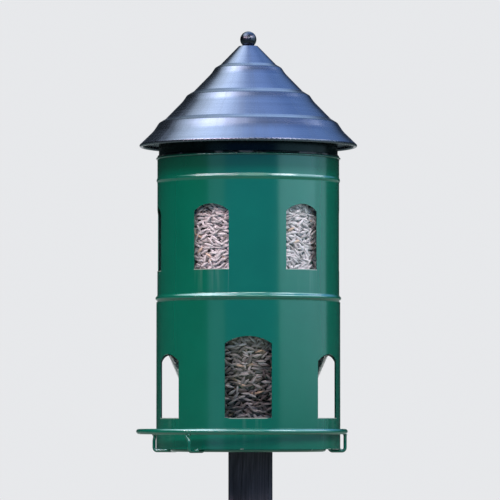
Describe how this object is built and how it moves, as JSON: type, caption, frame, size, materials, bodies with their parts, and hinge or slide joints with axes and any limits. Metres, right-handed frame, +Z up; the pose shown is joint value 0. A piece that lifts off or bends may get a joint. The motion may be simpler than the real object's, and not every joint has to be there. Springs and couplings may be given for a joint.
{
  "type": "post-mounted bird feeder",
  "caption": "Tower-shaped seed feeder on a square timber post: steel cylinder with arched openings, clear hopper inside, perch ring, and a stepped conical roof that lifts off.",
  "frame": {"origin": "on the post's flat foot at ground level, under the tower's axis", "axes": "+Z up along the post and the tower's axis, -Y out of the front feed opening, +X to the right seen from the front"},
  "size_m": [0.2404, 0.237, 1.4577],
  "materials": {
    "green_coat": "gloss powder coat",
    "black_coat": "gloss black over fine spinning lines",
    "stained_timber": "black stained softwood, open grain",
    "clear_plastic": "clear",
    "seed": "striped sunflower seed",
    "plated_steel": "zinc plated"
  },
  "bodies": {
    "root": {"base_tray": "green_coat", "hopper_ring": "plated_steel", "lower_shell": "green_coat", "perch_bracket_1": "green_coat", "perch_bracket_2": "green_coat", "perch_bracket_3": "green_coat", "perch_bracket_4": "green_coat", "perch_ring": "green_coat", "post": "stained_timber", "post_screw_1": "plated_steel", "post_screw_2": "plated_steel", "post_screw_3": "plated_steel", "post_screw_4": "plated_steel", "seed_bed": "seed", "seed_fill": "seed", "seed_hopper": "clear_plastic", "upper_shell": "green_coat"},
    "roof": {"finial_ball": "black_coat", "finial_nut": "plated_steel", "finial_stud": "plated_steel", "finial_washer": "plated_steel", "roof_collar": "black_coat", "roof_cone": "black_coat"}
  },
  "joints": [
    {"name": "roof_lift", "type": "slide", "parent": "root", "child": "roof", "axis": [0, 0, 1], "range_m": [0, 0.3]}
  ]
}
